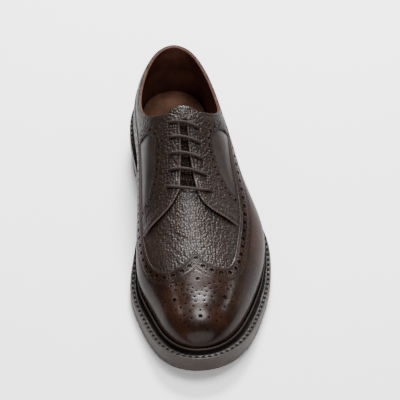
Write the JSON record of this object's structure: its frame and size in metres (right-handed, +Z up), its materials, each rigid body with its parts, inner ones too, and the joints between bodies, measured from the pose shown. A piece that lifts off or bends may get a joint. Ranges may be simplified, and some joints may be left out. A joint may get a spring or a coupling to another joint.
{
  "type": "wingtip shoe",
  "caption": "Left wingtip derby shoe: hollow leather upper with a long wing overlay, open lacing over a tongue, beaded welt, leather outsole and stacked heel.",
  "frame": {"origin": "on the floor, under the middle of the sole's outline", "axes": "+Z up, toe towards -Y and heel towards +Y, outer (lateral) side of the foot towards +X"},
  "size_m": [0.1176, 0.3026, 0.1007],
  "materials": {
    "smooth_leather": "burnished smooth leather, waxed",
    "grained_leather": "pebbled leather, low gloss",
    "lining": "plain lining leather",
    "welt": "dark waxed leather",
    "sole_edge": "stained sole leather",
    "rubber": "matt rubber",
    "lace": "waxed round lace"
  },
  "bodies": {
    "root": {"upper": "grained_leather", "wing_cap": "smooth_leather", "facing_lateral": "grained_leather", "facing_medial": "grained_leather", "tongue": "grained_leather", "insole": "lining", "welt": "welt", "outsole": "sole_edge", "heel_stack": "sole_edge", "top_piece": "rubber", "lace_bar_1": "lace", "lace_bar_2": "lace", "lace_bar_3": "lace", "lace_bar_4": "lace", "lace_bar_5": "lace"}
  },
  "joints": []
}
